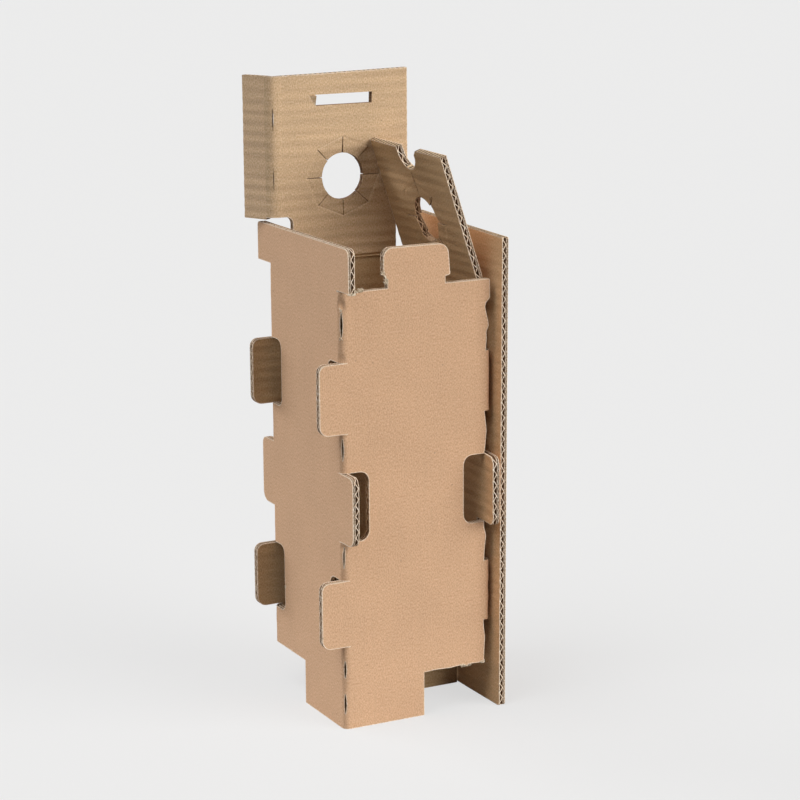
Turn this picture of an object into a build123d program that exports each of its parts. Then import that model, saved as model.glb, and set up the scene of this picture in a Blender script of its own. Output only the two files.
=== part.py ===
from build123d import *
import os
from math import floor, hypot

os.makedirs("parts", exist_ok=True)

# Bottle shipping sleeve, die-cut from one sheet of double-wall corrugated board and folded without glue.
# Millimetres, +Z up. It is drawn with the front left bottom corner of the sleeve at zero, the front wall
# along X and the left wall along Y, and moved at the end so that zero is under the middle of its box.

# Board
board = 4.2
liner = 0.35
flute_pitch = 6.4
flute_height = 2.05
flute_web = 1.3
pocket_depth = 3.0
pocket_margin = 0.5

# Sleeve
width = 95.0
depth = 95.0
foot = 26.0
foot_left = 51.7
foot_front = 51.0
rim = 251.5
side_top = 278.0
fold_radius = 3.2
slit_inset = 4.9
wall_gap = 0.4

# Spacer tabs, each cut out of the next wall, and the windows that they leave there
tab_height = 40.0
tab_pitch = 61.3
tab_first = 49.5
tab_reach = 13.2
fold_gain = 0.8
window_reach = tab_reach + board - fold_gain
tab_radius = 6.5
low, middle, high = (tab_first + tab_pitch * n for n in range(3))
shoulder_rise = 3.0
shoulder = rim + shoulder_rise

# Perforation slits on the folds
slit_length = 12.0
slit_width = 1.2

# Locking tab on top of the front wall
lock_base = 36.4
lock_head = 41.6
lock_step = 4.6
lock_height = 23.0
lock_heel_radius = 1.5

# Folds that move keep this much clear between their two sides
clear = 0.35
root = board / 2

# Top flap, upright, with its side strip folded back. Its notch is cut high enough for the strip
# to swing clear of the left wall's back tongue.
top_fold = rim + clear + root
top_y = depth - root
swing_y = depth + tab_reach - tab_radius - top_y
swing_z = side_top - tab_radius - top_fold
top_notch = hypot(swing_y, swing_z) + tab_radius + clear
top_length = 108.5
top_left = 3.8
top_right = 89.2
top_waist_left = 14.9
top_waist_right = 81.4
notch_radius = 4.4
neck_radius = 13.6
neck_from_fold = 47.2
star_radius = 23.0
star_width = 0.5
slot_side = 1.3
slot_length = lock_base + 2 * slot_side
slot_width = 7.0
slot_clear = 0.2
slot_from_fold = top_y - board - slot_clear + slot_width / 2
strip_width = 20.0
strip_angle = 62.0

# Neck flap on the inner right wall, leaning in
neck_fold = 241.0
neck_length = 86.2
neck_lean = 18.2
neck_hole_from_fold = 41.2
pull_radius = 9.4
pull_depth = 13.0
side_clear = 0.5

# Closing panel outside the inner right wall, standing a little open
closing_reach = 99.9
closing_open = 1.2

# Bottle floor, folded in from the back wall, and its lip down to the ground
floor_front = 40.5
floor_side = 0.6
lip_gap = 0.4
lip_drop = 1.0

side_plane = Plane(origin=(0, 0, 0), x_dir=(0, 1, 0), z_dir=(1, 0, 0))
front_plane = Plane(origin=(0, 0, 0), x_dir=(1, 0, 0), z_dir=(0, -1, 0))


def box(x0, x1, z0, z1):
    """Flat rectangle between two positions along a wall and two heights."""
    return Pos((x0 + x1) / 2, (z0 + z1) / 2) * Rectangle(x1 - x0, z1 - z0)


def tongue(start, end, z0, z1):
    """Flat tongue from start to end along a wall, rounded at the end."""
    flat = box(min(start, end), max(start, end), z0, z1)
    corners = flat.vertices().sort_by(Axis.X)
    return fillet(corners[-2:] if end > start else corners[:2], tab_radius)


def tab(start, end, bottom):
    return tongue(start, end, bottom, bottom + tab_height)


def sheet(outline, plane, offset=0.0):
    """Board with this outline, its near face at the offset along the plane's normal."""
    return extrude(plane.offset(offset) * outline, amount=board)


def flutes(edge, length):
    """Open flutes of a cut edge: X of the plane is from inner to outer face, Y runs along the edge."""
    near = liner
    far = liner + flute_height
    half = (flute_pitch - flute_web) / 2
    steps = floor((length - 2 * pocket_margin - 2 * half) / (flute_pitch / 2))
    first = (length - steps * flute_pitch / 2) / 2
    pockets = []
    for n in range(steps + 1):
        y = first + n * flute_pitch / 2
        base, tip = (near, far) if n % 2 else (far, near)
        pockets.append(Polygon((base, y - half), (base, y + half), (tip, y), align=None))
    return extrude(edge * Sketch(children=pockets), amount=-pocket_depth)


def cut_flutes(solid, x, y, z0, z1, inner_to_outer, outward):
    """Opens the flutes along an upright cut edge whose inner face is at x, y, between two heights."""
    normal = Vector(*outward)
    across = Vector(*inner_to_outer)
    runs_up = normal.cross(across).Z > 0
    edge = Plane(origin=(x, y, z0 if runs_up else z1), x_dir=across, z_dir=normal)
    return solid - flutes(edge, z1 - z0)


def rounded_fold(x, y, toward_x, toward_y, z0, z1):
    """What a fold's outer radius takes off a sharp corner, for the height given."""
    centre = Pos(x + toward_x * fold_radius, y + toward_y * fold_radius)
    half = fold_radius / 2
    square = Pos(-toward_x * half, -toward_y * half) * Rectangle(fold_radius, fold_radius)
    return Pos(0, 0, z0) * extrude(centre * (square - Circle(fold_radius)), amount=z1 - z0)


def fold_slit(x, y, toward_x, toward_y, middle_z):
    """Perforation through the fold's corner."""
    centre = Pos(x + toward_x * board / 2, y + toward_y * board / 2, middle_z)
    return centre * Rot(0, 0, 45 * toward_x * toward_y) * Box(3 * board, slit_width, slit_length)


# Left wall, with its upper part wider than the sleeve
left_flat = box(0, depth, foot, side_top) + box(0, foot_left, 0, foot)
left_flat += tab(0, -tab_reach, middle) + tab(depth, depth + tab_reach, middle)
left_flat += tongue(board, -tab_reach, shoulder, side_top)
left_flat += tongue(depth - board, depth + tab_reach, shoulder, side_top)
for level in (low, high):
    left_flat -= tab(0, window_reach, level)
    left_flat -= tab(depth, depth - window_reach, level)
left_wall = sheet(left_flat, side_plane)

# Front wall, slit from the right wall except in the two bands where they are folded together
slit_end = width - slit_inset
front_flat = box(0, slit_end, foot, rim) + box(0, foot_front, 0, foot)
lock_centre = width / 2
front_flat += box(lock_centre - lock_base / 2, lock_centre + lock_base / 2, rim, rim + lock_step)
lock_flat = box(lock_centre - lock_head / 2, lock_centre + lock_head / 2, rim + lock_step, rim + lock_height)
lock_flat = fillet(lock_flat.vertices().sort_by(Axis.Y)[-2:], tab_radius)
front_flat += fillet(lock_flat.vertices().sort_by(Axis.Y)[:2], lock_heel_radius)
front_flat -= tab(0, window_reach, middle)
front_flat -= tab(width, width - window_reach, middle)
for level in (low, high):
    front_flat += tab(0, -tab_reach, level)
    front_flat += box(slit_end, width, level, level + tab_height)
front_wall = sheet(front_flat, front_plane, -board)

# Inner right wall
right_start = board + wall_gap
right_end = depth - board - wall_gap
right_top = neck_fold - root - clear
right_flat = box(right_start, right_end, foot, right_top)
right_flat += tab(right_start, -tab_reach, middle)
for level in (low, high):
    right_flat += box(0, right_start, level, level + tab_height)
right_wall = sheet(right_flat, side_plane, width - board)

# Back wall, up to the fold of the top flap
back_flat = box(0, width, foot, rim)
back_flat -= tab(0, window_reach, middle)
for level in (low, high):
    back_flat += tab(0, -tab_reach, level)
back_wall = sheet(back_flat, front_plane, -depth)

# Bottle floor and lip in the board of the back wall
floor_left = board + floor_side
floor_right = width - board - floor_side
floor_back = floor_front + board
floor_section = Polygon(
    (floor_front, 0), (floor_back, 0), (floor_back, foot), (depth, foot),
    (depth, foot + board), (floor_front, foot + board), align=None)
floor_corner = floor_section.vertices().sort_by(Axis.Y)[-2:].sort_by(Axis.X)[0]
floor_section = fillet(floor_corner, fold_radius)
base = Pos(floor_left, 0, 0) * extrude(side_plane * floor_section, amount=floor_right - floor_left)
lip_flat = box(floor_left, width - lip_gap, 0, foot - lip_drop)
base += sheet(lip_flat, front_plane, -floor_front - board)

sleeve = left_wall + front_wall + right_wall + back_wall + base

# Folds between the tabs, rounded outside and perforated in the middle of each
spans = [(0, foot), (foot, low)]
spans += [(low + tab_height, middle), (middle + tab_height, high), (high + tab_height, rim)]
for z0, z1 in spans:
    sleeve -= rounded_fold(0, 0, 1, 1, z0, z1)
    sleeve -= fold_slit(0, 0, 1, 1, (z0 + z1) / 2)
    if z0 >= foot:
        sleeve -= rounded_fold(0, depth, 1, -1, z0, z1)
        sleeve -= fold_slit(0, depth, 1, -1, (z0 + z1) / 2)
for level in (low, high):
    sleeve -= rounded_fold(width, 0, -1, 1, level, level + tab_height)

# Open flutes on the cut edges of the tabs, between their rounded corners
tab_straight = tab_height - 2 * tab_radius
z = middle + tab_radius
sleeve = cut_flutes(sleeve, board, -tab_reach, z, z + tab_straight, (-1, 0, 0), (0, -1, 0))
sleeve = cut_flutes(sleeve, width - board, -tab_reach, z, z + tab_straight, (1, 0, 0), (0, -1, 0))
sleeve = cut_flutes(sleeve, board, depth + tab_reach, z, z + tab_straight, (-1, 0, 0), (0, 1, 0))
for z in (low + tab_radius, high + tab_radius):
    sleeve = cut_flutes(sleeve, -tab_reach, board, z, z + tab_straight, (0, -1, 0), (-1, 0, 0))
    sleeve = cut_flutes(sleeve, -tab_reach, depth - board, z, z + tab_straight, (0, 1, 0), (-1, 0, 0))
z = shoulder + tab_radius
sleeve = cut_flutes(sleeve, board, -tab_reach, z, side_top - tab_radius, (-1, 0, 0), (0, -1, 0))

# Top flap on the back wall, drawn flat with its fold on the X axis
top_flat = box(top_waist_left, top_waist_right, 0, top_length)
top_flat += box(top_left + root + clear, top_right, top_notch, top_length)
inner_corners = top_flat.vertices().filter_by(lambda v: abs(v.Y - top_notch) < 0.1).sort_by(Axis.X)[1:3]
top_flat = fillet(inner_corners, notch_radius)


def star(x, y):
    """Round neck hole with slits around it that let its edge give way."""
    hole = Pos(x, y) * Circle(neck_radius)
    slit = Pos(star_radius / 2 + neck_radius / 4, 0) * Rectangle(star_radius - neck_radius / 2, star_width)
    for n in range(8):
        hole += Pos(x, y) * Rot(0, 0, 45 * n) * slit
    return hole


top_flat -= star(width / 2, neck_from_fold)
top_flat -= Pos(lock_centre, slot_from_fold) * Rectangle(slot_length, slot_width)
top_plane = Plane(origin=(0, top_y, top_fold), x_dir=(1, 0, 0), z_dir=(0, -1, 0))
top_flap = sheet(top_flat, top_plane, -root)
fold_run = top_waist_right - top_waist_left
fold_middle = (top_waist_left + top_waist_right) / 2
top_flap += Pos(fold_middle, top_y, top_fold) * Rot(0, 90, 0) * Cylinder(root, fold_run)
top_flap = cut_flutes(
    top_flap, top_right, depth - board, top_fold + top_notch, top_fold + top_length, (0, 1, 0), (1, 0, 0))

# Side strip of the top flap, perforated along its fold and folded back
strip_flat = box(-strip_width, 0, top_notch, top_length)
strip = extrude(Plane.XZ.offset(-root) * strip_flat, amount=board)
strip += Pos(0, 0, (top_notch + top_length) / 2) * Cylinder(root, top_length - top_notch)
strip = cut_flutes(strip, -strip_width, -root, top_notch, top_length, (0, 1, 0), (-1, 0, 0))
side_strip = Pos(top_left, top_y, top_fold) * Rot(0, 0, -strip_angle) * strip

# Neck flap on the inner right wall, drawn upright in its plane and then leant in
neck_front = board + side_clear
neck_back = depth - board - side_clear
neck_flat = box(neck_front, neck_back, 0, neck_length)
neck_middle = depth / 2
pull_centre = neck_length - pull_depth + pull_radius
neck_flat -= Pos(neck_middle, pull_centre) * Circle(pull_radius)
neck_flat -= box(neck_middle - pull_radius, neck_middle + pull_radius, pull_centre, neck_length)
neck_flat -= star(neck_middle, neck_hole_from_fold)
neck_flat -= box(neck_middle - star_width / 2, neck_middle + star_width / 2, neck_hole_from_fold, neck_length)
neck = sheet(neck_flat, side_plane, -root)
neck += Pos(0, (neck_front + neck_back) / 2, 0) * Rot(90, 0, 0) * Cylinder(root, neck_back - neck_front)
for y, outward in ((neck_front, -1), (neck_back, 1)):
    neck = cut_flutes(neck, -root, y, root, neck_length, (1, 0, 0), (0, outward, 0))
neck_flap = Pos(width - root, 0, neck_fold) * Rot(0, -neck_lean, 0) * neck

# Closing panel, hinged where the back wall ends
closing_x = width + clear + root
closing_flat = box(-closing_reach, 0, 0, side_top)
closing = sheet(closing_flat, side_plane, -root) + Pos(0, 0, side_top / 2) * Cylinder(root, side_top)
closing = cut_flutes(closing, -root, -closing_reach, 0, side_top, (1, 0, 0), (0, -1, 0))
closing_panel = Pos(closing_x, depth - root, 0) * Rot(0, 0, closing_open) * closing

nodes = {
    "sleeve": sleeve,
    "top_flap": top_flap,
    "side_strip": side_strip,
    "neck_flap": neck_flap,
    "closing_panel": closing_panel,
}

# Zero goes under the middle of the whole box
whole = Compound(children=[Compound(children=list(shape.solids())) for shape in nodes.values()])
extent = whole.bounding_box()
shift = Pos(-extent.center().X, -extent.center().Y, 0)
print("sleeve corner at", -extent.center().X, -extent.center().Y, "size", extent.size)
for name, shape in nodes.items():
    export_step(shift * Compound(children=list(shape.solids())), f"parts/{name}.step")
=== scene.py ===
import bpy
import bmesh
import math
import random
from mathutils import Matrix, Vector, noise
from mathutils.kdtree import KDTree


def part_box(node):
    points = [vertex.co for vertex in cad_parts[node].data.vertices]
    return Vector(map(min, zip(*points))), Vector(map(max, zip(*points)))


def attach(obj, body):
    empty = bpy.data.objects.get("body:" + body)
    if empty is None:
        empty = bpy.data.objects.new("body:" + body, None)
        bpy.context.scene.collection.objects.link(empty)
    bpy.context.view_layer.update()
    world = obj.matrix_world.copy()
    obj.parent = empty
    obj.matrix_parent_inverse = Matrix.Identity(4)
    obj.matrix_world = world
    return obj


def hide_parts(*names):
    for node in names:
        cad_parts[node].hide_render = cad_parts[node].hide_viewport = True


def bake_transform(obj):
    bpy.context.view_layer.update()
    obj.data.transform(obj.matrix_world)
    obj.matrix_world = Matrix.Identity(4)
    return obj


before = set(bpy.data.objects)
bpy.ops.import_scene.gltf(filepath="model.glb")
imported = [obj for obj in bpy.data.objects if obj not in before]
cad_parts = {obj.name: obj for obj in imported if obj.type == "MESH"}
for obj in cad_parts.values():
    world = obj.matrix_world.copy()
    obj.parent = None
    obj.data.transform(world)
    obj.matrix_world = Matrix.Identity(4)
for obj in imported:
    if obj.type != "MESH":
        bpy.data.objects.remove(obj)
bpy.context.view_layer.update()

# Sizes are in millimetres. A place is given from the sleeve's front left bottom corner: x along the
# front wall, y along the left wall and z up. One function turns such a place into the frame's metres.
MM = 0.001

# The board and its papers
board = 4.2
liner = 0.4
middle_liner = 0.25
small_paper = 0.2
large_paper = 0.55
flute_pitch = 6.2  # of the large fluting; the small one has half of it
burr = 0.45  # pale border that the knife leaves along every cut
sharp_angle = math.radians(42)

# The sleeve's walls
width = 95.0
depth = 95.0
foot = 26.0  # the foot's height, where the walls' lower edges and the floor are
foot_left = 51.7  # how far the foot goes along the left wall
foot_front = 51.0
rim = 251.5  # upper edge of the walls
tab_reach = 13.2
low, middle, high = 49.5, 110.8, 172.1  # lower edges of the three rows of tabs
tab_height = 40.0
window = 16.6  # how far a tab's window goes in from its corner
floor_front = 40.5

# The folds of the flaps, and the angles at which they stand at rest
clear = 0.35
root = board / 2
flap_start = 1.2  # a flap's own sheet starts this far from its fold, and a crease fills the rest
top_fold = rim + clear + root
top_y = depth - root
neck_fold = 241.0
neck_lean = math.radians(18.2)
strip_x = 3.8
strip_angle = math.radians(62.0)
closing_x = width + clear + root
closing_reach = 99.9
closing_top = 278.0

sleeve_low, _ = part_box("sleeve")
corner = Vector((sleeve_low[0] + tab_reach * MM, sleeve_low[1] + tab_reach * MM, 0))


def at(x, y, z):
    return corner + Vector((x, y, z)) * MM


# Helpers that hand a finished shape to the scene


def add_object(name, data):
    made = bpy.data.objects.new(name, data)
    bpy.context.collection.objects.link(made)
    return made


def finish_mesh(bm, name, materials):
    """Makes an object of a bmesh and frees the bmesh."""
    mesh = bpy.data.meshes.new(name)
    bm.to_mesh(mesh)
    bm.free()
    for material in materials:
        mesh.materials.append(material)
    return add_object(name, mesh)


def pour(part, total):
    """Adds one bmesh to another and frees it."""
    mesh = bpy.data.meshes.new("part")
    part.to_mesh(mesh)
    part.free()
    total.from_mesh(mesh)
    bpy.data.meshes.remove(mesh)


# Colour and materials

paper_roughness = 0.88
paper_shine = 0.25
fibre_relief = 0.12


def paint(hex_value):
    """sRGB hex colour as linear red, green, blue and one."""
    channels = [int(hex_value[n:n + 2], 16) / 255 for n in (0, 2, 4)]
    linear = [c / 12.92 if c <= 0.04045 else ((c + 0.055) / 1.055) ** 2.4 for c in channels]
    return (*linear, 1.0)


def node(tree, kind, settings=None, **links):
    """Adds a node with its settings, and links or sets its inputs, named or as _0, _1 by number."""
    made = tree.nodes.new(kind)
    for name, value in (settings or {}).items():
        setattr(made, name, value)
    for name, value in links.items():
        socket = made.inputs[int(name[1:])] if name[0] == "_" else made.inputs[name.replace("_", " ")]
        if isinstance(value, bpy.types.NodeSocket):
            tree.links.new(value, socket)
        else:
            socket.default_value = value
    return made


def new_material(name):
    material = bpy.data.materials.new(name)
    material.use_nodes = True
    tree = material.node_tree
    tree.nodes.clear()
    shader = node(tree, "ShaderNodeBsdfPrincipled")
    output = node(tree, "ShaderNodeOutputMaterial")
    tree.links.new(shader.outputs["BSDF"], output.inputs["Surface"])
    return material, tree, shader


def kraft(name, deep, colour, light, ribs=0.0, hatch=0.0, teeth=False, bump=0.35):
    """Kraft paper. Fibre bundles run across the flutes, over soft blotches and a few dark specks.
    ribs is the painted shade of the large flutes where they show, and hatch that of the small ones.
    teeth marks a cut along the flutes with the knife's teeth, whose gaps are painted dark as the shade of the
    hollow board behind them. Patterns follow the sheet through its UV map, which is in metres."""
    material, tree, shader = new_material(name)
    uv = node(tree, "ShaderNodeTexCoord").outputs["UV"]
    across, up = node(tree, "ShaderNodeSeparateXYZ", Vector=uv).outputs[:2]

    def grain(size, stretch, detail):
        """Noise with features of this size in millimetres, longer along the fibres by 1 / stretch."""
        scaled = node(tree, "ShaderNodeMapping", Vector=uv, Scale=(1.0, stretch, 1.0)).outputs[0]
        return node(tree, "ShaderNodeTexNoise", Vector=scaled, Scale=1 / (size * MM),
                    Detail=detail).outputs[0]

    def shade(value, amount, centre=1.0, start=0.3, end=0.7):
        return node(tree, "ShaderNodeMapRange", Value=value, From_Min=start, From_Max=end,
                    To_Min=centre - amount, To_Max=centre + amount).outputs[0]

    def times(a, b):
        return node(tree, "ShaderNodeMath", {"operation": "MULTIPLY"}, _0=a, _1=b).outputs[0]

    def wave(pitch, size, start, end):
        """Painted shade of lines one pitch apart that wander a little and fade in patches."""
        drift = node(tree, "ShaderNodeMapRange", Value=grain(34, 1.0, 2.0), To_Min=-1.1 * MM, To_Max=1.1 * MM)
        place = node(tree, "ShaderNodeMath", {"operation": "ADD"}, _0=up, _1=drift.outputs[0]).outputs[0]
        line = node(tree, "ShaderNodeMath", {"operation": "COSINE"},
                    _0=times(place, 2 * math.pi / (pitch * MM)))
        patches = node(tree, "ShaderNodeMapRange", Value=grain(size, 2.4, 2.0), From_Min=start, From_Max=end)
        return times(line.outputs[0], patches.outputs[0])

    # Bundles 0.6 mm wide and 1.1 mm long carry the paper's two tones
    fibre = grain(0.62, 0.55, 2.0)
    fine = grain(0.95, 1.0, 2.0)
    spread = node(tree, "ShaderNodeMapRange", Value=fibre, From_Min=0.28, From_Max=0.72)
    tone = node(tree, "ShaderNodeValToRGB", Fac=spread.outputs[0])
    ramp = tone.color_ramp
    ramp.elements[0].color = paint(deep)
    ramp.elements[1].color = paint(light)
    ramp.elements.new(0.5).color = paint(colour)
    # Fine grain, faint streaks along the fibres and wide soft blotches
    value = times(shade(fine, 0.055), shade(grain(2.2, 0.05, 2.0), 0.016))
    value = times(value, shade(grain(26, 1.0, 3.0), 0.03))
    # Dark specks, one at most in each cell 5.5 mm wide
    speck = node(tree, "ShaderNodeTexVoronoi", Vector=uv, Scale=1 / (5.5 * MM))
    rare = node(tree, "ShaderNodeSeparateXYZ", Vector=speck.outputs["Color"]).outputs[0]
    size = node(tree, "ShaderNodeMapRange", Value=rare, From_Min=0.5, From_Max=1.0, To_Min=0.0, To_Max=0.1)
    dot = node(tree, "ShaderNodeMath", {"operation": "LESS_THAN"}, _0=speck.outputs["Distance"],
               _1=size.outputs[0])
    darker = node(tree, "ShaderNodeMapRange", Value=dot.outputs[0], To_Min=1.0, To_Max=0.74)
    value = times(value, darker.outputs[0])
    # Painted shade of the large flutes' ribs, in even bands and in irregular streaks
    if ribs:
        value = times(value, shade(wave(flute_pitch, 30, 0.35, 0.65), ribs, start=-1.0, end=1.0))
        value = times(value, shade(grain(34, 11.0, 3.0), ribs * 1.6))
    # Painted shade of the small flutes
    if hatch:
        value = times(value, shade(wave(flute_pitch / 2, 20, 0.4, 0.7), hatch, start=-1.0, end=1.0))
    # The tooth gaps are painted dark: painted shade of the hollow board that they open into
    if teeth:
        tooth = node(tree, "ShaderNodeMath", {"operation": "PINGPONG"}, _0=across, _1=1.55 * MM).outputs[0]
        gap = node(tree, "ShaderNodeMapRange", Value=tooth, From_Min=0.5 * MM, From_Max=0.8 * MM,
                   To_Min=1.0, To_Max=0.0)
        inner = node(tree, "ShaderNodeMath", {"operation": "COMPARE"}, _0=up, _1=2.3 * MM, _2=1.5 * MM)
        dark = times(gap.outputs[0], inner.outputs[0])
        value = times(value, node(tree, "ShaderNodeMapRange", Value=dark, To_Min=1.0, To_Max=0.1).outputs[0])
    tinted = node(tree, "ShaderNodeVectorMath", {"operation": "SCALE"}, _0=tone.outputs[0], Scale=value)
    tree.links.new(tinted.outputs[0], shader.inputs["Base Color"])
    shader.inputs["Roughness"].default_value = paper_roughness
    shader.inputs["Specular IOR Level"].default_value = paper_shine
    raised = node(tree, "ShaderNodeBump", Height=fibre, Strength=bump, Distance=fibre_relief * MM)
    tree.links.new(raised.outputs[0], shader.inputs["Normal"])
    return material


# Outer face of the board: machine-finished brown kraft liner, matt, with short upright fibre bundles and the
# painted shade of the small flutes under it
outer_kraft = kraft("kraft liner, smooth outer face", "bd9471", "cea786", "dbb898", hatch=0.012)
# Inner face: lighter, yellower liner pulled over the large flutes, so that they show as ribs, with their
# painted shade
inner_kraft = kraft("kraft liner, ribbed inner face", "ab8a63", "be9e78", "ccb08c", ribs=0.027)
# The same liner on the top flap, paler and greyer: painted light, as its face looks where the light falls on
# it
flap_painted_light_kraft = kraft("kraft liner, inner face with painted light, top flap", "b99972", "ceaf8c", "ddc3a4", ribs=0.027)
# The same liner on the closing panel and the right wall, deeper and warmer: painted shade, as faces in shade
# look
inside_painted_shade_kraft = kraft("kraft liner, inner face with painted shade", "c49c6f", "d8b086", "e6c49c", ribs=0.024)
# The same liner on the side strip, the palest: painted light, lifting the shade that the strip stands in
strip_painted_light_kraft = kraft("kraft liner, inner face with painted light, side strip", "c3a27b", "d9b996", "e6ccae", ribs=0.027)
# Knife-cut edge of the papers: bare pale fibres
cut_kraft = kraft("cut paper edge, bare fibres", "cbaf93", "e3cdb4", "f4e7d6", bump=0.8)
# Fluting paper between the liners: recycled grey-brown, rough and matt
fluting = kraft("recycled fluting paper", "7f6049", "9c7c5f", "b59779", bump=0.8)
# Torn fibres: the fluffy, nearly white inside of ripped paper
torn_kraft = kraft("torn kraft fibres", "d6c4a9", "ebdfcb", "f8f1e4", bump=1.0)
# Cut along the flutes: liners crushed together by a toothed knife, pale, with painted shade in the tooth gaps
toothed_cut = kraft("crushed cut with tooth marks", "b0916f", "cfb391", "e3cdae", teeth=True, bump=0.8)
# Creases pressed or bent into the inner face: scuffed paper, paler than the sheet around it
scuffed = kraft("scuffed crease in the inner liner", "c5a683", "dcc1a0", "e9d5b9", bump=0.6)
FACE_OUT, FACE_IN, CUT, CORE, TOOTHED, SCUFFED, PAINTED_LIGHT_FLAP, PAINTED_SHADE_INSIDE, PAINTED_LIGHT_STRIP = range(9)
INNER_FACES = (FACE_IN, PAINTED_LIGHT_FLAP, PAINTED_SHADE_INSIDE, PAINTED_LIGHT_STRIP)
finishes = (outer_kraft, inner_kraft, cut_kraft, fluting, toothed_cut, scuffed, flap_painted_light_kraft, inside_painted_shade_kraft,
            strip_painted_light_kraft)
BORDER, SCORE, SLIT = 1, 2, 3  # marks on the flat sheet: the burr along a cut, a crease, and a slit's edge


# The sheet, drawn flat with X along the wall and Z up, and given its layers


def no_joint(x, z):
    return False


def die_cut(corners, slits, joined):
    """Flat sheet from its corners in order, each with the radius it is rounded to if any, with knife
    slits as lists of points. A narrow border along the cuts is marked, and another along the slits.
    joined says where the outline is no cut, because the sheet goes on in another piece."""
    bm = bmesh.new()
    verts = [bm.verts.new((point[0], 0, point[1])) for point in corners]
    bm.faces.new(verts)
    for radius in sorted({point[2] for point in corners if len(point) == 3}):
        round_corners = [vert for vert, point in zip(verts, corners) if point[2:] == (radius,)]
        bmesh.ops.bevel(bm, geom=round_corners, offset=radius, offset_type="OFFSET", segments=6,
                        profile=0.5, affect="VERTICES", material=-1)
    slit_edges = set()
    if slits:
        bmesh.ops.delete(bm, geom=bm.faces[:], context="FACES_ONLY")
        for points in slits:
            ring = [bm.verts.new((x, 0, z)) for x, z in points]
            slit_edges.update(bm.edges.new((ring[n - 1], vert)) for n, vert in enumerate(ring))
        bmesh.ops.triangle_fill(bm, use_beauty=True, edges=bm.edges[:])
    border = bmesh.ops.inset_region(bm, faces=bm.faces[:], thickness=burr, use_boundary=True)["faces"]
    for face in border:
        if any(edge in slit_edges for edge in face.edges):
            face.material_index = SLIT
        elif any(is_cut(edge, joined) for edge in face.edges):
            face.material_index = BORDER
    return bm


def is_cut(edge, joined):
    """Whether the knife has made this edge of the flat sheet."""
    halfway = (edge.verts[0].co + edge.verts[1].co) / 2
    return edge.is_boundary and not joined(halfway.x, halfway.z)


def slice_rows(bm, direction, places):
    """Cuts the flat sheet along X or Z at each place, in rising order."""
    ahead = bm.faces[:]
    for place in sorted(places):
        geometry = set(ahead)
        for face in ahead:
            geometry.update(face.edges)
            geometry.update(face.verts)
        cut = bmesh.ops.bisect_plane(bm, geom=list(geometry), dist=1e-4, plane_co=direction * place,
                                     plane_no=direction)
        ahead = [g for g in cut["geom"] if isinstance(g, bmesh.types.BMFace)
                 and g.calc_center_median().dot(direction) > place]


score_half = 0.28
score_search = 1.5  # only faces this near to a crease are cut along it


def score(bm, start, end):
    """Marks a crease as a narrow strip of the flat sheet, from start to end."""
    first, last = Vector((start[0], 0, start[1])), Vector((end[0], 0, end[1]))
    length = (last - first).length
    along = (last - first) / length
    side = along.cross(Vector((0, 1, 0)))

    def close(face, reach):
        offset = face.calc_center_median() - first
        return abs(offset.dot(side)) < reach and 0 < offset.dot(along) < length

    for shift in (-score_half, score_half):
        faces = {face for face in bm.faces if close(face, score_search)}
        geometry = faces | {e for f in faces for e in f.edges} | {v for f in faces for v in f.verts}
        bmesh.ops.bisect_plane(bm, geom=list(geometry), dist=1e-4, plane_co=first + side * shift,
                               plane_no=side)
    for face in bm.faces:
        if close(face, score_half):
            face.material_index = SCORE


def steps(start, end, size):
    """Places between start and end that divide the way into equal steps of about this size."""
    count = max(1, round((end - start) / size))
    return [start + (end - start) * n / count for n in range(1, count)]


def flute_wave(z, pitch):
    """Height of the fluting paper from 0 to 1, a little pointed at its crests as real flutes are."""
    phase = 2 * math.pi * z / pitch
    return 0.5 + 0.5 * (math.sin(phase) * 1.08 - math.sin(3 * phase) * 0.08) / 1.16


small_top = liner
small_bottom = 1.3
large_top = small_bottom + middle_liner
large_bottom = board - liner


def small_flute(x, z):
    """Depth of the small fluting paper, which the knife and the folding have crushed in places."""
    crushed = 0.7 + 0.3 * noise.noise(Vector((x * 0.2, z * 0.3, 3.0)))
    height = 0.5 + (flute_wave(z, flute_pitch / 2) - 0.5) * crushed
    return small_top + (small_bottom - small_top - small_paper) * height


def large_wave(x, z):
    """Height of the large fluting from 0 to 1. Its flutes wander a little."""
    lean = 0.45 * noise.noise(Vector((x * 0.05, z * 0.05, 9.0)))
    return flute_wave(z + lean, flute_pitch)


def large_flute(x, z):
    return large_top + (large_bottom - large_top - large_paper) * large_wave(x, z)


def inner_face(x, z):
    """The inner liner sinks a little between the crests that carry it, more in some places than others."""
    sag = 0.18 * (1 + noise.noise(Vector((x * 0.025, z * 0.08, 2.0))))
    dip = 0.13 * (1 + noise.noise(Vector((x * 0.02, z * 0.23, 6.0))))
    return board - sag * (1 - large_wave(x, z)) - dip


# Each layer of the double-wall board: its two surfaces as depth under the outer face, their materials,
# and whether it runs all through the sheet or is only made where a cut shows it
layers = (
    (lambda x, z: 0.0, lambda x, z: liner, FACE_OUT, CORE, True),
    (small_flute, lambda x, z: small_flute(x, z) + small_paper, CORE, CORE, False),
    (lambda x, z: small_bottom, lambda x, z: large_top, CORE, CORE, False),
    (large_flute, lambda x, z: large_flute(x, z) + large_paper, CORE, CORE, False),
    (lambda x, z: inner_face(x, z) - liner, inner_face, CORE, FACE_IN, True),
)


def near_cuts(bm, reach, joined):
    """Removes what lies further than this from every cut."""
    rims = [vert.co for edge in bm.edges if is_cut(edge, joined) for vert in edge.verts]
    tree = KDTree(len(rims))
    for n, place in enumerate(rims):
        tree.insert(place, n)
    tree.balance()
    far = [f for f in bm.faces if tree.find(f.calc_center_median())[2] > reach]
    bmesh.ops.delete(bm, geom=far, context="FACES")


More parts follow.
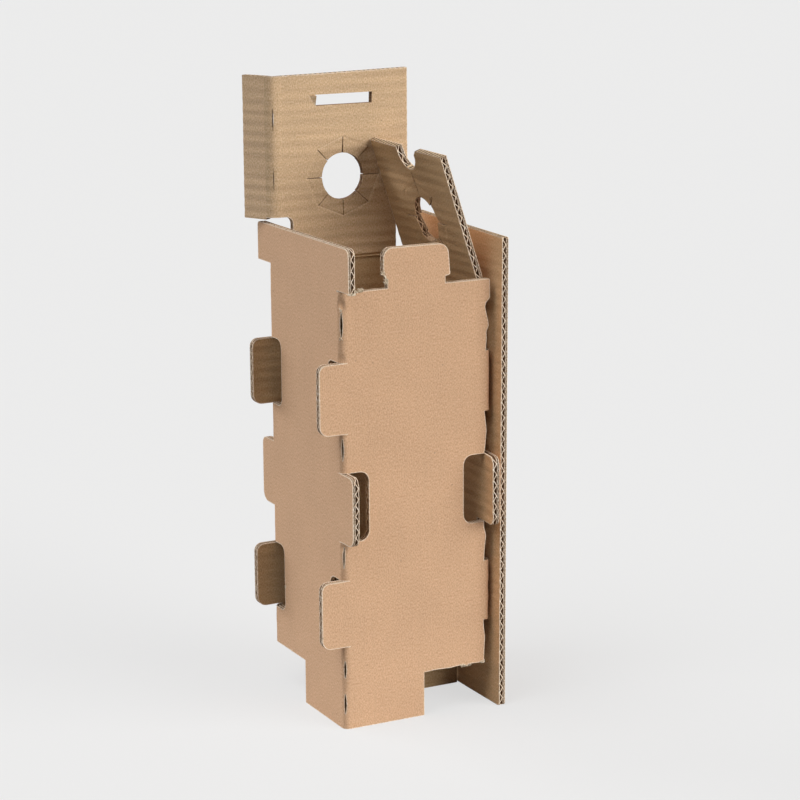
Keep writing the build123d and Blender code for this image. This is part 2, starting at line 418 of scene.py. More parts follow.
def add_layer(total, layer, near, far, finish_near, finish_far, finish_side, place, uv_offset,
              uv_depth=False):
    """Gives one flat layer its two surfaces and its cut side, puts it in place and adds it to total.
    With uv_depth the patterns on its cut side go through the board's thickness."""
    uv = layer.loops.layers.uv.new("UVMap")
    for face in layer.faces:
        face.smooth = True
        for loop in face.loops:
            x, z = loop.vert.co.x, loop.vert.co.z
            loop[uv].uv = ((x + uv_offset[0]) * MM, (z + uv_offset[1]) * MM)
    flat_faces = set(layer.faces)
    grown = bmesh.ops.extrude_face_region(layer, geom=layer.faces[:], use_keep_orig=True)["geom"]
    moved = {g for g in grown if isinstance(g, bmesh.types.BMVert)}
    tops = {g for g in grown if isinstance(g, bmesh.types.BMFace)}
    for face in layer.faces:
        if face in tops or face in flat_faces:
            finish = finish_far if face in tops else finish_near
            special = {BORDER: CUT, SCORE: SCUFFED if finish in INNER_FACES else finish,
                       SLIT: CUT if finish == FACE_OUT else finish}
            face.material_index = special.get(face.material_index, finish) if finish != CORE else CORE
        else:
            # A slit's cut sides take the darker fluting paper in place of the pale cut: painted shade inside
            # the narrow slit
            face.material_index = CORE if face.material_index == SLIT else finish_side
            face.smooth = False
            if uv_depth:
                for loop in face.loops:
                    t = far(0, 0) if loop.vert in moved else near(0, 0)
                    loop[uv].uv.y = t * MM
    for vert in layer.verts:
        x, z = vert.co.x, vert.co.z
        vert.co = at(*place(x, far(x, z) if vert in moved else near(x, z), z))
    bmesh.ops.recalc_face_normals(layer, faces=layer.faces[:])
    pour(layer, total)


rim_slope = 0.45  # a cut steeper than this crosses the flutes
lift_upper, lift_lower = 0.03, 0.06


def crushed_rim(flat, joined):
    """The border faces along cuts that follow the flutes. The cuts are moved up a little: an upper one
    then covers the papers' edges, and a lower one leaves them clear."""
    rim_layer = flat.copy()
    along = set()
    for edge in rim_layer.edges:
        if is_cut(edge, joined):
            run = edge.verts[0].co - edge.verts[1].co
            if abs(run.z) < rim_slope * abs(run.x):
                along.update(edge.link_faces)
                upper = edge.link_faces[0].calc_center_median().z < edge.verts[0].co.z
                for vert in edge.verts:
                    vert.co.z += lift_upper if upper else lift_lower
    bmesh.ops.delete(rim_layer, geom=[f for f in rim_layer.faces if f not in along], context="FACES")
    return rim_layer


def sheet(name, corners, place, slits=(), columns=(), joined=no_joint, uv_offset=(0, 0), shut=False,
          scores=(), row=flute_pitch / 10, reach=7.0, column=9.0, inner=FACE_IN):
    """Die-cut sheet of board as a finished piece. Its faces are row high, to draw the flutes, and column
    wide, with the columns added where it bends. The papers that only a cut shows go in by reach. shut
    closes the cuts that follow the flutes, as a toothed knife does. scores are its creases, inner is
    the finish of its inner face, and uv_offset keeps its pattern apart from those of other pieces."""
    flat = die_cut(corners, slits, joined)
    bottom, top = min(point[1] for point in corners), max(point[1] for point in corners)
    left, right = min(point[0] for point in corners), max(point[0] for point in corners)
    first_row, last_row = math.ceil(bottom / row + 0.3), int(top / row + 0.7)
    slice_rows(flat, Vector((1, 0, 0)), [*columns, *steps(left, right, column)])
    slice_rows(flat, Vector((0, 0, 1)), [row * n for n in range(first_row, last_row)])
    for start, end in scores:
        score(flat, start, end)
    total = bmesh.new()
    for near, far, finish_near, finish_far, through in layers:
        layer = flat.copy()
        if not through:
            near_cuts(layer, reach, joined)
        if layer.faces:
            finish = inner if finish_far == FACE_IN else finish_far
            add_layer(total, layer, near, far, finish_near, finish, CUT, place, uv_offset)
    if shut:
        add_layer(total, crushed_rim(flat, joined), lambda x, z: liner, lambda x, z: large_bottom,
                  CORE, CORE, TOOTHED, place, uv_offset, uv_depth=True)
    flat.free()
    piece = finish_mesh(total, name, finishes)
    piece.data.set_sharp_from_angle(angle=sharp_angle)
    return piece


def stands_for(piece, body):
    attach(piece, body)
    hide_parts(body)


# Walls. A wall's place function takes X along it, depth under its outer face and height. A wall ends
# at a fold one board thickness from the corner, and the fold's own piece goes on round the corner.


def left_place(x, t, z):
    return t, x, z


def front_place(x, t, z):
    return x, t, z


tab_root = 5.8  # where the right wall's tab starts to bend
tab_lean = math.radians(7)
tab_bend = 3.0  # the length over which it bends
tuck_depth = 1.15
tuck_length = 90.0


def tuck(x, z):
    """How far the right wall's low front end leans in, which leaves the twisted closing panel room."""
    fade = max(0.0, 1 - x / tuck_length) * max(0.0, 1 - z / rim) * min(1.0, max(0.0, x / tab_root))
    return tuck_depth * fade


def right_place(x, t, z):
    """The tab bends inwards where it leaves the front wall's window."""
    bent = max(0.0, tab_root - x)
    lean = tab_lean * min(1.0, bent / tab_bend)
    return (width - t - tuck(x, z) - bent * math.sin(lean),
            x + bent * (1 - math.cos(lean)) - (board - t) * math.sin(lean), z)


def back_place(x, t, z):
    return x, depth - t, z


seam = board  # a wall ends this far from its corner
waist_left, waist_right = 14.9, 81.4  # ends of the top flap's fold


def meets(a, b):
    """Whether two lengths are the same, as far as the flat sheets' cuts are exact."""
    return abs(a - b) < 0.02


left_top = 276.9
left_wall = sheet("left_wall", [
    (seam, 0), (foot_left, 0), (foot_left, foot), (69.5, foot), (70.0, foot + 0.9), (70.8, foot),
    (depth - seam, foot),
    (depth - seam, 48.2), (depth - window, 48.2, 5.0), (depth - window, 62.5), (depth - window - 1.3, 63.6),
    (depth - window, 65.2), (depth - window, 88.0, 5.0), (depth - seam, 88.0),
    (depth - seam, 110.3), (106.4, 110.3, 6.0), (106.4, 149.2, 4.5), (depth - seam, 149.2),
    (depth - seam, high), (depth - window, high, 5.0), (depth - window, 211.2, 5.0), (depth - seam, 211.2),
    (depth - seam, rim), (depth - seam, 254.6), (108.15, 254.6), (108.15, left_top, 2.6),
    (-10.6, left_top, 4.2), (-10.6, 252.4), (seam, 252.4), (seam, rim),
    (seam, high + tab_height), (window, high + tab_height, 5.0), (window, high, 5.0), (seam, high),
    (seam, 149.6), (-tab_reach, 149.6, 4.6), (-tab_reach, 110.0, 5.6), (seam, 110.0),
    (seam, 87.6), (window, 87.6, 5.0), (window, 49.0, 5.0), (seam, 49.0)],
    left_place,
    joined=lambda x, z: meets(x, seam) or meets(x, depth - seam))

lock_centre = width / 2
slit_edge = 90.1  # the front wall's ragged edge between the folds of the front right corner
front_wall = sheet("front_wall", [
    (seam, 0), (foot_front, 0), (foot_front, foot), (60, foot + 0.3), (68, foot - 0.1), (76.5, foot + 0.6),
    (78.5, foot - 0.4), (81, foot + 0.3), (88.2, foot), (slit_edge, foot - 0.3),
    (slit_edge + 0.3, 32), (90.9, 41.5), (slit_edge, 47), (89.9, 51.6),
    (width - seam, 51.6), (width - seam, 87.2),
    (90.1, 87.2), (90.5, 93.4), (91.5, 102.3), (90.2, 107), (slit_edge, middle),
    (width - window - 1.6, middle, 5.5), (width - window - 1.6, middle + tab_height, 5.5),
    (slit_edge, middle + tab_height), (90.9, 156), (91.7, 164.3), (91.0, 170), (90.4, 175.6),
    (width - seam, 175.6), (width - seam, 210.5),
    (91.0, 210.5), (91.7, 217.6), (91.4, 221), (93.0, 225), (92.2, 229), (90.6, 235.5), (91.2, 238),
    (93.7, 240.6), (93.6, rim - 0.6), (93.0, rim),
    (lock_centre + 17.8, rim), (lock_centre + 17.8, rim + 4.0), (lock_centre + 20.9, rim + 4.6, 1.0),
    (lock_centre + 19.4, rim + 22.5, 5.5), (lock_centre - 20.8, rim + 22.5, 5.5),
    (lock_centre - 20.7, rim + 9.8), (lock_centre - 20.1, rim + 8.7), (lock_centre - 20.9, rim + 7.6),
    (lock_centre - 19.8, rim + 6.3), (lock_centre - 19.2, rim + 6.2), (lock_centre - 18.8, rim + 4.6),
    (lock_centre - 18.0, rim + 4.1), (lock_centre - 18.4, rim + 2.2), (lock_centre - 18.2, rim),
    (9.5, rim), (7.0, rim - 0.7), (seam, rim - 0.9),
    (seam, high + tab_height), (-tab_reach, high + tab_height, 4.4), (-tab_reach, high, 5.5), (seam, high),
    (seam, 149.6), (window, 149.6, 5.5), (window, 110.0, 5.5), (seam, 110.0),
    (seam, 87.6), (-tab_reach, 87.6, 4.4), (-tab_reach, 49.0, 5.5), (seam, 49.0)],
    front_place,
    joined=lambda x, z: meets(x, seam) or meets(x, width - seam), uv_offset=(200, 7))

right_end = depth - board - 0.4
right_top = neck_fold - root - clear
setback = 9.0  # the right wall's front edge, seen through the slits beside the front wall
right_wall = sheet("right_wall", [
    (setback, foot), (right_end, foot), (right_end, right_top), (setback, right_top),
    (setback, 210.5), (seam, 210.5), (seam, 175.6), (setback, 175.6),
    (setback, middle + tab_height), (-12.8, middle + tab_height, 4.8), (-12.8, middle, 4.8),
    (setback, middle),
    (setback, 87.2), (seam, 87.2), (seam, 51.6), (setback, 51.6)],
    # The inner face takes the liner with painted shade
    right_place, columns=[tab_root, 5.0, 4.2, 3.4, 2.6, 1.6], inner=PAINTED_SHADE_INSIDE,
    joined=lambda x, z: meets(x, seam) or meets(z, right_top), uv_offset=(400, 3))

back_wall = sheet("back_wall", [
    (seam, foot), (width, foot), (width, rim), (waist_right, rim), (waist_left, rim), (seam, rim),
    (seam, 210.7), (-12.3, 210.7, 4.5), (-12.3, high, 5.5), (seam, high),
    (seam, middle + tab_height), (window, middle + tab_height, 5.5), (window, middle, 5.5), (seam, middle),
    (seam, 87.4), (-12.0, 87.4, 4.5), (-12.0, low, 5.5), (seam, low)],
    back_place, uv_offset=(600, 11),
    joined=lambda x, z: meets(x, seam) or meets(x, width) or meets(z, rim) and waist_left < x < waist_right)


# Folds: strips of the sheet that go round a corner, crushed on the inside


def fold_place(cx, cy, toward_x, toward_y, soft, seed, dents=()):
    """Place function of a fold whose sharp outer corner would be at cx, cy, with its walls toward_x and
    toward_y from there. soft is how far the outer face is drawn in from a tight fold, and seed picks its
    own swells. dents are the height, depth and half height of its dents."""
    def place(s, t, z):
        share = s / fold_run
        rest = 1 - share
        outer = (Vector((0, seam)) * rest ** 2 + Vector((soft, soft)) * 2 * share * rest
                 + Vector((seam, 0)) * share ** 2)
        crest = math.sin(math.pi * share) ** 2
        swell = 0.25 * noise.noise(Vector((z * 0.11, seed, 0.5))) * crest
        swell -= sum(deep * math.exp(-((z - height) / half) ** 2) for height, deep, half in dents) * crest
        outer -= Vector((swell, swell))
        inner = Vector((board, board)) - Vector((0.5, 0.5)) * crest
        spot = outer.lerp(inner, t / board)
        return cx + toward_x * spot.x, cy + toward_y * spot.y, z
    return place


fold_run = 6.8  # length of the flat board in a fold


# Half openings of a slit, and the shares of its length where it has them, up one side and down the other
slit_right = ((0.12, 0), (0.42, 0.2), (0.62, 0.45), (0.55, 0.7), (0.15, 1))
slit_left = ((0.12, 1), (0.5, 0.7), (0.5, 0.4), (0.35, 0.2), (0.1, 0))


def slit_hole(z0, z1, wide=1.0):
    """Opening of a knife slit that folding has pulled apart: pointed at both ends."""
    half = fold_run / 2
    span = z1 - z0
    return ([(half + gap * wide, z0 + span * share) for gap, share in slit_right]
            + [(half - gap * wide, z0 + span * share) for gap, share in slit_left])


def fold(name, z0, z1, place, slits=(), uv_offset=(0, 0)):
    return sheet(name, [(0, z0), (fold_run, z0), (fold_run, z1), (0, z1)], place,
                 slits=[slit_hole(*slit) for slit in slits], columns=steps(0, fold_run, 0.97),
                 joined=lambda x, z: meets(x, 0) or meets(x, fold_run), uv_offset=uv_offset)


front_left_place = fold_place(0, 0, 1, 1, 0.1, 1.0,
                              dents=[(244.5, 1.1, 3.2), (214.5, 0.5, 2.5), (106.5, 0.6, 2.0)])
back_left_place = fold_place(0, depth, 1, -1, 0.8, 5.0)
front_right_bend = fold_place(width, 0, -1, 1, 0.3, 8.0)


def front_right_place(s, t, z):
    """The end on the right wall's side follows that wall."""
    x, y, z = front_right_bend(s, t, z)
    return x - tuck(seam, z) * (1 - s / fold_run), y, z


folds = [
    fold("front_left_fold_foot", 0, 49.0, front_left_place, [(9.2, 20.8, 1.3), (30.3, 40.3, 1.3)], (190, 0)),
    fold("front_left_fold_low", 87.6, 110.0, front_left_place, [(95.0, 107.0)], (190, 0)),
    fold("front_left_fold_middle", 149.6, high, front_left_place, [(157.0, 169.2)], (190, 0)),
    fold("front_left_fold_top", high + tab_height, rim + 0.5, front_left_place, [(226.8, 240.2, 1.4)],
         (190, 0)),
    fold("back_left_fold_foot", foot, 48.2, back_left_place, [(31, 42)], (90, 0)),
    fold("back_left_fold_low", 88.0, 110.3, back_left_place, [(94, 105)], (90, 0)),
    fold("back_left_fold_middle", 149.2, high, back_left_place, [(155, 167)], (90, 0)),
    fold("back_left_fold_top", 211.2, rim, back_left_place, [(225, 238)], (90, 0)),
    fold("front_right_fold_low", 51.6, 87.2, front_right_place, (), (300, 0)),
    fold("front_right_fold_high", 175.6, 210.5, front_right_place, (), (300, 0)),
]

# Bottle floor and its lip


def floor_place(x, t, z):
    """Z of the flat sheet runs from the back wall to the front."""
    return x, depth - board - z, foot + t


def lip_place(x, t, z):
    return x, floor_front + board - t, z


floor_left = board + 0.6
floor_right = width - board - 1.6
floor_depth = depth - board - floor_front
bottle_floor = sheet("bottle_floor", [(floor_left, 0), (floor_right, 0), (floor_right, floor_depth),
                                      (floor_left, floor_depth)], floor_place, uv_offset=(800, 0))
lip = sheet("floor_lip", [(floor_left, 0), (width - 0.4, 0), (width - 0.4, foot - 1), (floor_left, foot - 1)],
            lip_place, uv_offset=(900, 0))

for piece in (left_wall, front_wall, right_wall, back_wall, bottle_floor, lip, *folds):
    stands_for(piece, "sleeve")


# Neck holes: a round hole with eight knife slits, whose petals a bottle has pushed out of the sheet

neck_radius = 13.6
star_radius = 23.0  # reach of the slits
slit_gap = 0.28  # half the width of a slit
flat_share = 0.935  # how near the straight edge of a bent petal comes, as a share of the hole's radius
petal_count = 8
petal_turn = 45.0
petal_crease = 0.3
petal_crease_half = 0.5
petal_most_tilt = 1.1


def on_circle(cx, cz, radius, degrees):
    turn = math.radians(degrees)
    return cx + radius * math.cos(turn), cz + radius * math.sin(turn)


def star(cx, cz, open_to=None, flat=(), gap=slit_gap):
    """Outline of a neck hole. The slit that points up reaches open_to where it is given. flat are the
    numbers of the petals whose edges have been bent straight. gap is half the width of that first slit."""
    points = []
    gaps = [gap] + [slit_gap] * (petal_count - 1) + [gap]
    for n in range(petal_count):
        half, next_half = math.asin(gaps[n] / neck_radius), math.asin(gaps[n + 1] / neck_radius)
        turn = math.radians(petal_turn * n + 90)
        direction = Vector((math.cos(turn), math.sin(turn)))
        side = Vector((-direction.y, direction.x))
        reach = open_to - cz if open_to and n == 0 else star_radius
        for end, sign in ((neck_radius, -1), (reach, -1), (reach, 1), (neck_radius, 1)):
            spot = direction * end + side * sign * gaps[n] * (1 if end == neck_radius else 0.7)
            points.append((cx + spot.x, cz + spot.y))
        for k in range(1, 6):
            arc = turn + half + (math.radians(petal_turn) - half - next_half) * k / 6
            straight = flat_share / math.cos(arc - turn - math.radians(petal_turn / 2))
            radius = neck_radius * (straight if n in flat else 1.0)
            points.append((cx + radius * math.cos(arc), cz + radius * math.sin(arc)))
    return points


def star_creases(cx, cz, numbers):
    """Straight creases between the ends of neighbouring slits, about which these petals tilt."""
    ends = [on_circle(cx, cz, star_radius, petal_turn * n + 90) for n in range(petal_count + 1)]
    return [(ends[n], ends[n + 1]) for n in numbers]


def petals(x, z, cx, cz, pushes):
    """How far the sheet is pushed out of its plane at a place: each petal tilts about its crease, and
    the crease is pressed in."""
    dx, dz = x - cx, z - cz
    if math.hypot(dx, dz) > star_radius + 3:
        return 0.0
    turn = (math.degrees(math.atan2(dz, dx)) - 90) % 360
    push = pushes[int(turn // petal_turn) % petal_count]
    reach = math.hypot(dx, dz) * math.cos(math.radians(turn % petal_turn - petal_turn / 2))
    hinge = star_radius * math.cos(math.radians(petal_turn / 2))
    tilt = max(0.0, (hinge - reach) / (hinge - neck_radius))
    pressed = petal_crease * math.exp(-((reach - hinge) / petal_crease_half) ** 2)
    return push * min(tilt, petal_most_tilt) + math.copysign(pressed, push)


# Top flap, drawn with its fold at height zero

top_notch = 26.3  # lower edge of the flap beside its waist
top_left, top_right = strip_x + 5.0, 89.2
strip_top = 107.2
neck_centre = width / 2 - 0.2
neck_height = 47.6
top_pushes = (1.0, 0.3, 0.2, 0.6, 0.8, 1.3, 1.1, 0.5)
slot_height = 92.4
slot_half = 3.2
slot_left = lock_centre - 17.4
slot_right = lock_centre + 18.6
slot_tip = lock_centre - 21.8
slot_push = 0.45


def slot_dent(x, z):
    """The lock tab has bent the corner at the slot's left end forwards, along the line from its tip."""
    if not -slot_half - 0.1 < z - slot_height < slot_half - 0.2 or x >= slot_left + 0.4:
        return 0.0
    share = (slot_height + slot_half - z) / (2 * slot_half)
    return -slot_push * max(0.0, x - slot_tip - share * (slot_left - 0.2 - slot_tip))


def top_place(x, t, z):
    back = petals(x, z, neck_centre, neck_height, top_pushes) + slot_dent(x, z)
    return x, depth - t + back, top_fold + z


top_flap = sheet("top_flap", [
    (waist_left, flap_start), (waist_right, flap_start), (waist_right, top_notch, 4.4),
    (top_right, top_notch), (top_right, 108.45), (60, 107.9), (30, 107.4), (top_left, strip_top),
    (top_left, top_notch), (waist_left, top_notch, 4.4)],
    top_place,
    slits=[star(neck_centre, neck_height),
           [(slot_left, slot_height - slot_half), (slot_right, slot_height - slot_half),
            (slot_right + 0.2, slot_height + slot_half), (slot_tip, slot_height + slot_half),
            (slot_tip, slot_height + 3.1), (slot_left - 0.1, slot_height + 3.05)]],
    # Its inner face takes the liner with painted light
    columns=steps(22, 73, 1.7), uv_offset=(620, 3), shut=True, inner=PAINTED_LIGHT_FLAP,
    scores=[*star_creases(neck_centre, neck_height, (0, 3, 4, 5)),
            ((slot_tip, slot_height + slot_half), (slot_left, slot_height - slot_half))],
    joined=lambda x, z: meets(z, flap_start) or meets(x, top_left))
stands_for(top_flap, "top_flap")


# Side strip, drawn from its fold outwards


def strip_place(x, t, z):
    out = root - t
    c, s = math.cos(strip_angle), math.sin(strip_angle)
    return strip_x - x * c + out * s, top_y + x * s + out * c, top_fold + z


strip_start = 4.4
strip_end = 20
strip_low = top_notch - 1.2
side_strip = sheet("side_strip", [
    (strip_start, strip_low), (strip_end, strip_low), (strip_end, strip_top), (strip_start, strip_top)],
    # The inner face takes the liner with painted light
    strip_place, uv_offset=(700, 3), shut=True, inner=PAINTED_LIGHT_STRIP, joined=lambda x, z: meets(x, strip_start))
stands_for(side_strip, "side_strip")

# Neck flap, drawn along its fold and up from it

neck_middle = depth / 2
neck_hole = 41.2
neck_front = board + 0.5
neck_back = depth - board - 0.5
neck_pushes = (-0.7, -1.2, -0.3, 0.3, 0.4, -0.3, -1.1, -0.8)


def neck_place(x, t, z):
    """The flap leans inwards. The petals of its hole lie above the hinge crease, which is also placed
    with this function."""
    out = root - t - petals(x, z, neck_middle, neck_hole, neck_pushes) * (z > 12)
    return (closing_x - clear - board + out * math.cos(neck_lean) - z * math.sin(neck_lean), x,
            neck_fold + out * math.sin(neck_lean) + z * math.cos(neck_lean))


pull = 9.9  # radius of the thumb notch
pull_centre = 82.3
pull_arc = [on_circle(neck_middle, pull_centre, pull, degrees) for degrees in range(360, 179, -15)]
neck_flap = sheet("neck_flap", [
    (neck_front, flap_start), (neck_back, flap_start), (neck_back, 85.6), (neck_middle + 10.3, 85.1),
    *pull_arc, (neck_middle - 12.6, 84.9), (neck_front, 84.5)],
    neck_place, slits=[star(neck_middle, neck_hole, open_to=71.0, flat=(1, 2, 5), gap=0.4)],
    columns=steps(21, 74, 1.6), uv_offset=(400, 14), shut=True, joined=lambda x, z: meets(z, flap_start))
stands_for(neck_flap, "neck_flap")


# Closing panel, drawn from its fold towards the front


closing_out = 0.85  # how far the panel's front edge stands out at its foot
closing_twist = 1.22  # and how much more at its top


def closing_place(x, t, z):
    """The panel twists: its top stands further out than its foot."""
    out = root - t
    lean = (closing_out + closing_twist * max(0, z / closing_top) ** 1.3) / closing_reach
    return closing_x + out + x * lean, top_y - x + out * lean, z


closing_panel = sheet("closing_panel", [
    (flap_start, 0), (closing_reach, 0, 2.0), (closing_reach, 275.3, 1.0), (57, 276.2),
    (flap_start, closing_top)],
    # The inner face takes the liner with painted shade
    closing_place, uv_offset=(1000, 0), shut=True, inner=PAINTED_SHADE_INSIDE,
    joined=lambda x, z: meets(x, flap_start) and foot < z < rim)
stands_for(closing_panel, "closing_panel")


# Hinge creases: the crushed line of board between two bodies, bent as it stands at rest


def crease(name, before, after, low_end, high_end, along, press, level=False,
           slits=(), inner=FACE_IN):
    """Board from the place function before to the place function after. It is drawn flat from low_end
    to high_end across the fold and over the range along it, and pressed thin by press. level says that
    the fold lies level. At low_end it lies where before puts it, and at high_end where after puts it."""
    def place(x, t, z):
        across = z if level else x
        share = (across - low_end) / (high_end - low_end)
        turn = share * share * (3 - 2 * share)
        squeezed = t - press(share) * (t / board) ** 2
        return Vector(before(x, squeezed, z)).lerp(Vector(after(x, squeezed, z)), turn)

    def joined(x, z):
        across = z if level else x
        return meets(across, low_end) or meets(across, high_end)

    spans = (along, (low_end, high_end)) if level else ((low_end, high_end), along)
    (x0, x1), (z0, z1) = spans
    cuts = [[(x + (x0 + x1 - fold_run) / 2, z) for x, z in slit_hole(*slit)] for slit in slits]
    row, column = (0.25, 9.0) if level else (flute_pitch / 10, 0.75)
    piece = sheet(name, [(x0, z0), (x1, z0), (x1, z1), (x0, z1)], place, slits=cuts, joined=joined,
                  reach=3.0, row=row, column=column, uv_offset=(620, 5), inner=inner)
    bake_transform(piece)
    return piece


def double_score(share):
    """Two scored lines with a ridge between them."""
    return (1.5 * math.exp(-((share - 0.3) / 0.14) ** 2) + 1.1 * math.exp(-((share - 0.78) / 0.12) ** 2)
            - 0.6 * math.exp(-((share - 0.54) / 0.12) ** 2))


def soft_score(share):
    return 0.9 * math.sin(math.pi * share) ** 2


def faint_score(share):
    return 0.4 * math.sin(math.pi * share) ** 2


top_start = top_fold + flap_start
neck_start = neck_fold + flap_start
closing_run = 4.0
crease("top_hinge", back_place, lambda x, t, z: top_place(x, t, z - top_fold), rim, top_start,
       (waist_left, waist_right),
       double_score, level=True)
crease("neck_hinge", right_place, lambda x, t, z: neck_place(x, t, z - neck_fold), right_top, neck_start,
       (neck_front, neck_back),
       soft_score, level=True)
crease("strip_hinge", lambda x, t, z: top_place(-x, t, z), lambda x, t, z: strip_place(x + strip_x, t, z),
       -top_left, strip_start - strip_x, (top_notch, strip_top),
       faint_score,
       # Its inner face takes the top flap's liner with painted light
       slits=[(42, 54.5, 0.45), (76, 89.5, 0.6)], inner=PAINTED_LIGHT_FLAP)
crease("closing_hinge", back_place,
       lambda x, t, z: closing_place(x - width - closing_run + flap_start, t, z), width,
       width + closing_run, (foot, rim),
       soft_score)


# Torn fibres: small curled flakes where the knife or the folding has ripped the paper


flake_paper = 0.12


def torn(name, tears, body):
    """Crumpled flakes. Each tear is its centre, its spread along x, y and z, their length and number."""
    chance = random.Random(7)
    total = bmesh.new()
    for centre, spread, length, count in tears:
        for _ in range(count):
            flake = bmesh.new()
            bmesh.ops.create_grid(flake, x_segments=2, y_segments=3, size=0.5)
            long = length * chance.uniform(0.45, 1.0)
            wide = length * chance.uniform(0.3, 0.7)
            for vert in flake.verts:
                frayed = 1.0 - 0.7 * (vert.co.y + 0.5) * chance.random()
                vert.co = Vector((vert.co.x * wide * frayed + chance.uniform(-0.1, 0.1),
                                  chance.uniform(-0.16, 0.16) * length, (vert.co.y + 0.5) * long * frayed))
            bmesh.ops.solidify(flake, geom=flake.faces[:], thickness=flake_paper)
            heading = Matrix.Rotation(chance.uniform(0, 6.3), 4, "Z")
            turn = heading @ Matrix.Rotation(chance.uniform(-1.5, 1.5), 4, "X")
            shift = Vector([chance.uniform(-s, s) for s in spread])
            bmesh.ops.transform(flake, matrix=Matrix.Translation(Vector(centre) + shift) @ turn,
                                verts=flake.verts[:])
            for vert in flake.verts:
                vert.co = at(*vert.co)
            pour(flake, total)
    bmesh.ops.recalc_face_normals(total, faces=total.faces[:])
    piece = finish_mesh(total, name, [torn_kraft])
    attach(piece, body)
    return piece


torn("torn_fibres", [
    ((2.2, -10.3, 252.0), (2.1, 0.7, 0.5), 1.9, 34),
    ((8.0, -0.5, 251.4), (2.8, 0.3, 0.6), 2.1, 34),
    ((12.0, -0.4, 251.8), (1.6, 0.3, 0.8), 2.3, 26),
    ((28.4, 0.1, 256.6), (1.0, 0.3, 2.8), 1.9, 30),
    ((26.4, 0.4, 260.0), (0.9, 0.4, 1.0), 2.0, 14),
    ((41.5, 0.6, 273.9), (1.4, 0.4, 0.2), 0.8, 5),
    ((78.3, 0.0, 25.8), (3.2, 0.3, 0.6), 1.9, 26),
    ((89.6, 0.3, 26.2), (1.4, 0.4, 0.9), 1.9, 20),
    ((-10.5, 0.4, 210.8), (2.0, 0.4, 0.6), 1.1, 10),
    ((-0.1, 77.4, 63.6), (0.3, 0.8, 1.0), 1.2, 8),
    ((0.0, 69.9, 26.0), (0.4, 0.8, 0.4), 1.1, 6),
    ((0.8, 1.2, 241.5), (0.7, 0.7, 1.2), 1.4, 8),
    ((0.8, 1.2, 225.5), (0.7, 0.7, 1.0), 1.4, 8),
], "sleeve")


# Floor, light and camera

pale = paint("ececec")
# Studio table: the camera sees it evenly pale with a faint shadow. It throws light back only near the box
ground_material, tree, shader = new_material("matt studio floor")
around = node(tree, "ShaderNodeVectorMath", {"operation": "LENGTH"},
              _0=node(tree, "ShaderNodeTexCoord").outputs["Object"]).outputs["Value"]
table = node(tree, "ShaderNodeMapRange", Value=around, From_Min=0.12, From_Max=0.5, To_Min=0.5, To_Max=0.15)
tree.links.new(table.outputs[0], shader.inputs["Base Color"])
shader.inputs["Roughness"].default_value = 1.0
shader.inputs["Specular IOR Level"].default_value = 0.0
seen = node(tree, "ShaderNodeLightPath").outputs["Is Camera Ray"]
glow = node(tree, "ShaderNodeEmission", Color=pale, Strength=1.0)
lit = node(tree, "ShaderNodeBsdfDiffuse", Color=pale)
shown = node(tree, "ShaderNodeMixShader", _0=0.25, _1=glow.outputs[0], _2=lit.outputs[0])
mixed = node(tree, "ShaderNodeMixShader", _0=seen, _1=shader.outputs[0], _2=shown.outputs[0])
tree.links.new(mixed.outputs[0], tree.nodes["Material Output"].inputs["Surface"])
table_top = bmesh.new()
bmesh.ops.create_grid(table_top, x_segments=1, y_segments=1, size=30.0)
ground = finish_mesh(table_top, "ground", [ground_material])

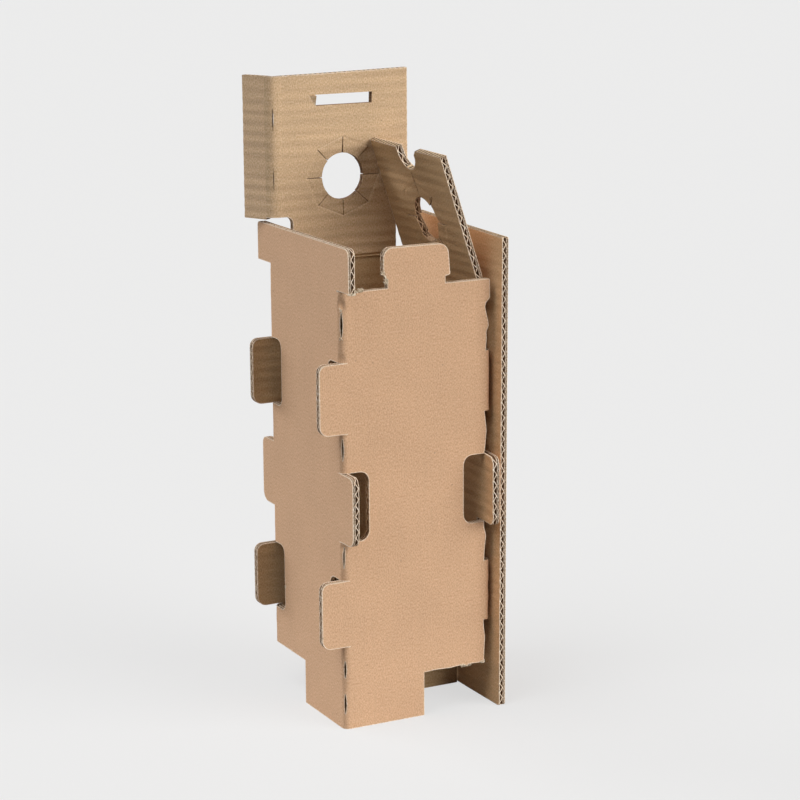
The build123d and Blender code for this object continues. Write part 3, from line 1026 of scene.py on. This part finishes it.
# World: as pale as the table to the camera, and only a weak even fill on the board
world = bpy.data.worlds.new("studio")
bpy.context.scene.world = world
world.use_nodes = True
tree = world.node_tree
tree.nodes.clear()
path = node(tree, "ShaderNodeLightPath")
seen = node(tree, "ShaderNodeMath", {"operation": "MAXIMUM"}, _0=path.outputs["Is Camera Ray"],
            _1=path.outputs["Is Glossy Ray"])
seen = node(tree, "ShaderNodeMath", {"operation": "MAXIMUM"}, _0=seen.outputs[0],
            _1=path.outputs["Is Transmission Ray"])
shown = node(tree, "ShaderNodeBackground", Color=pale, Strength=1.0)
soft = node(tree, "ShaderNodeBackground", Color=(1, 1, 1, 1), Strength=0.07)
mix = node(tree, "ShaderNodeMixShader", _0=seen.outputs[0], _1=soft.outputs[0], _2=shown.outputs[0])
world_output = node(tree, "ShaderNodeOutputWorld")
tree.links.new(mix.outputs[0], world_output.inputs["Surface"])


def sun(name, azimuth, height, strength, softness, colour=(1, 1, 1)):
    """Far lamp whose light comes from azimuth degrees to the right of the front, height degrees up."""
    lamp = bpy.data.lights.new(name, "SUN")
    lamp.energy = strength
    lamp.color = colour
    lamp.angle = math.radians(softness)
    holder = add_object(name, lamp)
    holder.rotation_mode = "QUATERNION"
    turn, rise = math.radians(azimuth), math.radians(height)
    source = Vector((math.sin(turn) * math.cos(rise), -math.cos(turn) * math.cos(rise), math.sin(rise)))
    holder.rotation_quaternion = source.to_track_quat("Z", "Y")


# The broad key light comes low from the front right, so the front face is the brightest. The two weaker
# ones reach the back from the left, and the left wall and the flaps from above.
sun("key_light", 36, 14, 3.7, 55, (1.0, 0.985, 0.955))
sun("back_left_light", -148, 12, 1.8, 35)
sun("top_left_light", -84, 58, 1.8, 45)

# The camera as fitted to the photograph: its place from the sleeve's corner, its directions, and its
# focal length in pixels of a frame 800 pixels wide
eye = Vector((-578.31, -1190.95, 497.31))
forward = Vector((0.446913, 0.865840, -0.224922))
upward = Vector((0.108679, 0.197016, 0.974358))
focal_px = 2472.45
frame_px = 800
sensor = 36.0
camera_data = bpy.data.cameras.new("camera")
camera_data.sensor_width = sensor
camera_data.lens = focal_px / frame_px * sensor
camera_data.clip_start = 0.05
camera_data.clip_end = 200
camera = add_object("camera", camera_data)
rightward = forward.cross(upward).normalized()
upward = rightward.cross(forward).normalized()
turn = Matrix((rightward, upward, -forward.normalized())).transposed()
camera.matrix_world = Matrix.Translation(corner + eye * MM) @ turn.to_4x4()
bpy.context.scene.camera = camera
bpy.context.scene.view_settings.view_transform = "Standard"
